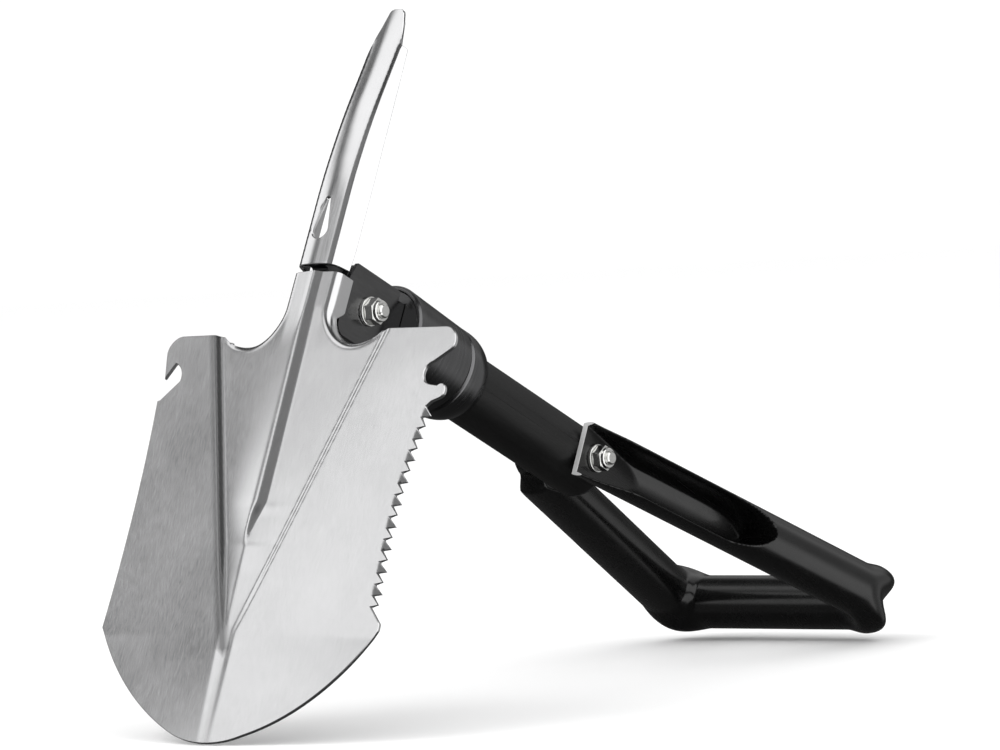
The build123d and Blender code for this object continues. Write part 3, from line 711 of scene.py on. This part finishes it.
def place_pick(flat):
    """Folds the flat pick: across the front, round each bend and back along the flange."""
    s, z = flat[:, 0], flat[:, 1]
    side = np.where(s < 0, -1.0, 1.0)
    beyond = np.maximum(np.abs(s) - FLAT_HALF, 0)
    angle = np.minimum(beyond / PICK_BEND, PICK_FLARE)
    straight = np.maximum(beyond - PICK_ARC, 0)
    across = PICK_BEND * np.sin(angle) + straight * math.cos(PICK_FLARE)
    back = PICK_BEND * (1 - np.cos(angle)) + straight * math.sin(PICK_FLARE)
    x = side * (np.minimum(np.abs(s), FLAT_HALF) + across)
    crown = PICK_CROWN * (np.abs(s) / FLAT_HALF) ** 2
    y = pick_front_smooth(z) + np.minimum(crown, PICK_CROWN) + back
    return np.stack([x, y, z], 1)


def flange_half(z):
    """Half width of the flat pick at height z, out to the back edge of its flange."""
    depth = float(pick_flange_back(z) - pick_front_smooth(z)) - PICK_CROWN
    return FLAT_HALF + PICK_ARC + (depth - PICK_BEND * (1 - math.cos(PICK_FLARE))) / math.sin(PICK_FLARE)


def pick_outline():
    """The pick, cut flat: up its right flange, round the tip and down its left one."""
    outline = Outline((-flange_half(PICK_BASE), PICK_BASE), 1.2)
    outline.line((flange_half(PICK_BASE), PICK_BASE))
    for z in np.arange(10.5, 112.0, 1.5):
        outline.points.append(np.array((flange_half(z), z)))
    outline.points.append(np.array((flange_half(112.5), 112.5)))
    outline.line((FLAT_HALF + 3.4, 113.6), (4.4, PICK_TIP - 2.2))
    outline.arc((3.4, PICK_TIP - 0.5), (1.4, PICK_TIP)).line((-1.6, PICK_TIP))
    outline.arc((-2.9, PICK_TIP - 0.5), (-3.8, PICK_TIP - 2.0))
    outline.line((-FLAT_HALF - 4.2, 107.8), (-flange_half(105.5), 105.5))
    for z in np.arange(104.0, 9.5, -1.5):
        outline.points.append(np.array((-flange_half(z), z)))
    return without_doubles(outline.array())


def teardrop():
    """The hanging hole: two rounds joined by their tangents."""
    big, small = HOLE_BIG, HOLE_SMALL
    lean = math.asin((big[2] - small[2]) / math.hypot(small[0] - big[0], small[1] - big[1]))
    ends = ((big, math.pi - lean, math.tau + lean, 26), (small, lean, math.pi - lean, 8))
    hole = []
    for centre, a0, a1, count in ends:
        for i in range(count + 1):
            angle = a0 + (a1 - a0) * i / count
            hole.append((centre[0] + centre[2] * math.cos(angle), centre[1] + centre[2] * math.sin(angle)))
    return np.array(hole)


def pick_thickness(flat):
    return np.full(len(flat), SHEET)


def make_pick():
    piece = folded_sheet(
        "pick_sheet", pick_outline(), [teardrop()], place_pick, pick_thickness, PICK_SPACING, PICK_STEEL,
    )
    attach(piece, "pick")
    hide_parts("pick_channel")


make_pick()


# --- handle -------------------------------------------------------------------
DENT_HALF = 11.0            # half width of the channel crushed into each arm
DENT_LIP = 4.5              # width of the slope at each side of it
DENT_LAYERS = 2.4           # thickness of the two crushed walls together
DENT_FULL = 82.0            # distance along the arm where the channel starts to close, and its end
DENT_END = 107.0
EAR_SPREAD = 3.0            # how much wider the channel is at the ear
EAR_LENGTH = 60.0
BEND_STEPS = 34
GRIP_STEPS = 14
RING = 120                  # points round the tube
PHI = np.arange(RING) * math.tau / RING
OUTER = np.cos(PHI)

ARM = np.array([CORNER_X - ARM_X, CORNER_Y - EAR_START])
ARM_LENGTH = np.linalg.norm(ARM)
ARM = ARM / ARM_LENGTH
OUT = np.array([ARM[1], -ARM[0]])
TURN = math.pi / 2 + math.atan2(ARM[0], ARM[1])
TANGENT = BEND_R * math.tan(TURN / 2)


def tube_section(centre, outward, half_dent, lobes, ear, square=0.0):
    """One ring: a dent pushes the outer wall in, lobes raise two bumps beside a dimple."""
    u, w = TUBE_R * OUTER, TUBE_R * np.sin(PHI)
    if half_dent > 0:
        floor = DENT_LAYERS - np.sqrt(np.maximum(TUBE_R ** 2 - w ** 2, 0))
        sunk = smooth((half_dent - np.abs(w)) / DENT_LIP)
        u = np.where(OUTER > 0, u * (1 - sunk) + floor * sunk, u)
    if lobes > 0:
        bump_w = np.exp(-((np.abs(w) - 9.0) / 4.0) ** 2)
        outer = smooth(OUTER + 0.35)
        u = u + lobes * outer * (2.6 * bump_w - 4.2 * np.exp(-(w / 5.0) ** 2))
        w = w * (1 + lobes * (0.3 * smooth(OUTER + 0.6)))
        u = u + lobes * (1 - outer) * 1.2 * np.cos(3 * PHI)
    x = centre[0] + outward[0] * u
    y = centre[1] + outward[1] * u * (1 - square)
    z = PIVOT.z + w
    if ear:
        x = np.maximum(x, EAR_IN)
        x = np.where((OUTER > 0) & (np.abs(w) < DENT_HALF), np.maximum(x, EAR_OUT), x)
    return np.stack([x, y, z], 1)


def arm_rings():
    """The right arm, from its ear to the start of the bend, with its crushed channel."""
    base = np.array([ARM_X, EAR_START])
    straight = ARM_LENGTH - TANGENT
    fine = np.arange(90, 110, 0.6)
    rings = []
    for t in np.concatenate([np.arange(0, 90, 1.5), fine, np.arange(110, straight, 3.0), [straight]]):
        share = np.clip((t - DENT_FULL) / (DENT_END - DENT_FULL), 0, 1)
        half_dent = (DENT_HALF + EAR_SPREAD * (1 - smooth(t / 34.0))) * math.sqrt(1 - share ** 2)
        ring = tube_section(base + ARM * t, OUT, half_dent, 0, t < EAR_LENGTH, 1 - smooth(t / 14.0))
        rings.append(ring)
    return rings


def bend_rings():
    """The kinked bend between the right arm and the grip."""
    bend_centre = np.array([CORNER_X - TANGENT, CORNER_Y - BEND_R])
    rings = []
    for i in range(1, BEND_STEPS):
        angle = TURN * i / BEND_STEPS
        direction = np.array([
            OUT[0] * math.cos(angle) + ARM[0] * math.sin(angle),
            OUT[1] * math.cos(angle) + ARM[1] * math.sin(angle),
        ])
        lobes = math.sin(math.pi * i / BEND_STEPS) ** 1.5
        rings.append(tube_section(bend_centre + direction * BEND_R, direction, 0, lobes, False))
    return rings


def grip_rings():
    """The right half of the grip, up to its middle."""
    places = np.linspace(CORNER_X - TANGENT, 0, GRIP_STEPS)
    return [tube_section(np.array([x, CORNER_Y]), np.array([0, 1.0]), 0, 0, False) for x in places]


def round_left_ear(rings):
    """Rounds the left ear's lower corner off about the bolt."""
    for ring in rings:
        y = ring[:, 1].min()
        behind = np.clip((PIVOT.y - y) / (PIVOT.y - EAR_START), 0, 1)
        share = max(0.05, 0.5 * math.sqrt(1 - behind ** 2)) + 0.5 * smooth((y - PIVOT.y - 3.0) / 6.0)
        low = ring[:, 2] < PIVOT.z
        ring[low, 2] = PIVOT.z + (ring[low, 2] - PIVOT.z) * share


def tube_faces(count):
    """Quads between count rings, and a flat face over each open end."""
    faces = []
    for k in range(count - 1):
        for i in range(RING):
            j = (i + 1) % RING
            faces.append((k * RING + i, (k + 1) * RING + i, (k + 1) * RING + j, k * RING + j))
    faces.append(tuple(range(RING)))
    faces.append(tuple(reversed(range((count - 1) * RING, count * RING))))
    return faces


def make_handle():
    """One tube: crushed ear, dented arm, kinked bend, grip, and the same again mirrored."""
    rings = arm_rings() + bend_rings() + grip_rings()
    mirrored = [ring * [-1, 1, 1] for ring in rings[-2::-1]]
    round_left_ear(mirrored)
    rings += mirrored
    piece = new_object("handle_loop", np.vstack(rings), tube_faces(len(rings)), HANDLE_PAINT, 50)
    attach(piece, "handle")
    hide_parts("handle_tube")


make_handle()


# --- CAD nodes that stay ------------------------------------------------------
EDGE_MM = 0.25              # width of the rounding on every edge
FINISHES = {
    "shaft_tube": SHAFT_PAINT,
    "fork_cheek_right": CHEEK_METAL,
    "fork_cheek_left": CHEEK_METAL,
    "threaded_barrel": COLLAR_METAL,
    "barrel_rivets": ZINC,
    "plug_pin": ZINC,
    "stop_ring": COLLAR_METAL,
    "shaft_end_cap": CAP_PLASTIC,
    "handle_bolt_sleeve": ZINC,
    "head_bolt": ZINC,
    "head_washers": ZINC,
    "head_nut": ZINC,
    "head_nut_insert": NYLON,
    "pressure_plate": COLLAR_METAL,
    "locking_collar": COLLAR_METAL,
    "blade_lug_right": LUG_STEEL,
    "blade_lug_left": LUG_STEEL,
    "pick_tongue": LUG_STEEL,
    "handle_bolt": ZINC,
    "handle_washers": ZINC,
    "handle_nut": ZINC,
    "handle_nut_insert": NYLON,
}


def finish_node(kept, finish):
    """Gives a CAD node its material and slightly rounded edges."""
    for slot in kept.material_slots:
        slot.material = finish
    kept.modifiers.new("weld", "WELD").merge_threshold = 0.01 * MM
    edge = kept.modifiers.new("edge", "BEVEL")
    edge.width = EDGE_MM * MM
    edge.segments = 2
    edge.limit_method = "ANGLE"
    edge.angle_limit = math.radians(35)
    kept.modifiers.new("normals", "WEIGHTED_NORMAL").keep_sharp = True


for node, finish in FINISHES.items():
    finish_node(frame["nodes"][node], finish)


# --- stage, light and camera --------------------------------------------------
def look_rotation(forward, down):
    """Rotation of a camera that looks forward with its image's downward side along down."""
    forward, down = Vector(forward).normalized(), Vector(down).normalized()
    right = down.cross(forward).normalized()
    up = right.cross(forward)
    return Matrix((right, up, -forward)).transposed()


FLOOR_SIZE = 60.0           # m, as are the two below
FLOOR_GAP = 0.0002
DOME_RADIUS = 12.0
DOME_COLUMNS, DOME_ROWS = 96, 48


def make_floor():
    mesh = bpy.data.meshes.new("floor")
    half = FLOOR_SIZE / 2
    z = cad_box[0].z - FLOOR_GAP
    corners = [(-half, -half, z), (half, -half, z), (half, half, z), (-half, half, z)]
    mesh.from_pydata(corners, [], [(0, 1, 2, 3)])
    floor = bpy.data.objects.new("floor", mesh)
    bpy.context.scene.collection.objects.link(floor)
    material, _, shader = nodes_of("pale_floor")
    shader.inputs["Base Color"].default_value = (0.96, 0.96, 0.96, 1)
    shader.inputs["Roughness"].default_value = 0.9
    shader.inputs["Specular IOR Level"].default_value = 0.1
    mesh.materials.append(material)
    floor.visible_glossy = False


make_floor()

# soft boxes that only reflections see: azimuth, elevation, half width, half height, soft edge, level
# angles are in degrees, and azimuth 0 is -Y and 90 is +X
DEGREES = 180 / math.pi
BASE_LEVEL = 0.06
SOFTBOXES = (
    (-40.5, 19.0, 11.5, 20.0, 8.0, 1.18),
    (-66.0, 20.0, 30.0, 50.0, 14.0, 0.13),
    (-77.0, 18.0, 13.5, 18.0, 8.0, 1.15),
    (-49.0, 56.0, 26.0, 12.0, 8.0, 1.15),
    (0.0, 40.0, 28.0, 20.0, 10.0, 0.2),
    (78.0, 15.0, 40.0, 60.0, 10.0, 1.6),
    (141.0, 0.0, 28.0, 35.0, 16.0, 0.45),
    (-170.0, 45.0, 40.0, 25.0, 20.0, 0.5),
)


def dome_mesh():
    """A sphere in rows from the bottom to the top."""
    vertices, faces = [], []
    for j in range(DOME_ROWS + 1):
        elevation = -math.pi / 2 + math.pi * j / DOME_ROWS
        for i in range(DOME_COLUMNS):
            a = math.tau * i / DOME_COLUMNS
            vertices.append((
                DOME_RADIUS * math.sin(a) * math.cos(elevation),
                -DOME_RADIUS * math.cos(a) * math.cos(elevation),
                DOME_RADIUS * math.sin(elevation),
            ))
    for j in range(DOME_ROWS):
        low, high = j * DOME_COLUMNS, (j + 1) * DOME_COLUMNS
        for i in range(DOME_COLUMNS):
            k = (i + 1) % DOME_COLUMNS
            faces.append((low + i, low + k, high + k, high + i))
    mesh = bpy.data.meshes.new("softbox_dome")
    mesh.from_pydata(vertices, [], faces)
    return mesh


def softbox(tree, azimuth, elevation, box):
    """The light of one soft box at an azimuth and elevation in degrees."""
    box_azimuth, box_elevation, half_width, half_height, edge, level = box
    across = maths(tree, "WRAP", maths(tree, "SUBTRACT", azimuth, box_azimuth), 180.0)
    across.node.inputs[2].default_value = -180.0
    rise = maths(tree, "SUBTRACT", elevation, box_elevation)
    share = level
    for offset, half in ((across, half_width), (rise, half_height)):
        fade = tree.nodes.new("ShaderNodeMapRange")
        fade.interpolation_type = "SMOOTHSTEP"
        fade.inputs["From Min"].default_value = half + edge / 2
        fade.inputs["From Max"].default_value = half - edge / 2
        tree.links.new(maths(tree, "ABSOLUTE", offset, 0.0), fade.inputs["Value"])
        share = maths(tree, "MULTIPLY", share, fade.outputs["Result"])
    return share


def dome_material():
    """Light by direction: a low level all round, and the soft boxes added to it."""
    material = bpy.data.materials.new("softboxes")
    material.use_nodes = True
    tree = material.node_tree
    tree.nodes.clear()
    where = tree.nodes.new("ShaderNodeTexCoord")
    split = tree.nodes.new("ShaderNodeSeparateXYZ")
    tree.links.new(where.outputs["Object"], split.inputs["Vector"])
    x, y, z = (split.outputs[k] for k in "XYZ")
    azimuth = maths(tree, "ARCTAN2", x, maths(tree, "MULTIPLY", y, -1.0))
    azimuth = maths(tree, "MULTIPLY", azimuth, DEGREES)
    elevation = maths(tree, "ARCSINE", maths(tree, "DIVIDE", z, DOME_RADIUS), 0.0)
    elevation = maths(tree, "MULTIPLY", elevation, DEGREES)
    total = BASE_LEVEL
    for box in SOFTBOXES:
        total = maths(tree, "ADD", total, softbox(tree, azimuth, elevation, box))
    emission = tree.nodes.new("ShaderNodeEmission")
    output = tree.nodes.new("ShaderNodeOutputMaterial")
    tree.links.new(total, emission.inputs["Strength"])
    tree.links.new(emission.outputs["Emission"], output.inputs["Surface"])
    return material


def make_reflection_dome():
    """A dome of soft boxes round the object. Only glossy reflections see it."""
    mesh = dome_mesh()
    mesh.materials.append(dome_material())
    dome = bpy.data.objects.new("softbox_dome", mesh)
    bpy.context.scene.collection.objects.link(dome)
    for ray in ("camera", "diffuse", "transmission", "volume_scatter", "shadow"):
        setattr(dome, f"visible_{ray}", False)


make_reflection_dome()

WORLD_STRENGTH = 1.08


def make_world():
    """White light from all round."""
    world = bpy.data.worlds.new("white")
    bpy.context.scene.world = world
    world.use_nodes = True
    background = world.node_tree.nodes["Background"]
    background.inputs["Color"].default_value = (1, 1, 1, 1)
    background.inputs["Strength"].default_value = WORLD_STRENGTH


make_world()


def add_light(name, location, target, size, power):
    data = bpy.data.lights.new(name, "AREA")
    data.size = size
    data.energy = power
    light = bpy.data.objects.new(name, data)
    bpy.context.scene.collection.objects.link(light)
    light.location = location
    light.rotation_euler = (Vector(target) - Vector(location)).to_track_quat("-Z", "Y").to_euler()
    light.visible_glossy = False
    light.visible_camera = False


add_light("key", (-1.2, -1.6, 2.4), (0, 0, 0.1), 1.4, 18)
add_light("fill", (2.0, -0.6, 1.4), (0, 0, 0.1), 1.4, 8)

# the camera in the tool frame: its place in mm, the way it looks, and the way its image's lower side points
LENS_MM = 177.515
SENSOR_MM = 36.0
CAMERA_MM = (1338.6, -1411.4, -673.0)
CAMERA_FORWARD = (-0.62751, 0.70870, 0.32244)
CAMERA_DOWN = (-0.02479, 0.39573, -0.91803)


def make_camera():
    data = bpy.data.cameras.new("camera")
    data.lens = LENS_MM
    data.sensor_width = SENSOR_MM
    data.clip_start = 0.05
    data.clip_end = 100.0
    camera = bpy.data.objects.new("camera", data)
    bpy.context.scene.collection.objects.link(camera)
    rotation = TOOL.to_3x3().normalized() @ look_rotation(CAMERA_FORWARD, CAMERA_DOWN)
    camera.matrix_world = Matrix.Translation(TOOL @ Vector(CAMERA_MM)) @ rotation.to_4x4()
    bpy.context.scene.camera = camera


make_camera()
bpy.context.scene.view_settings.view_transform = "Standard"
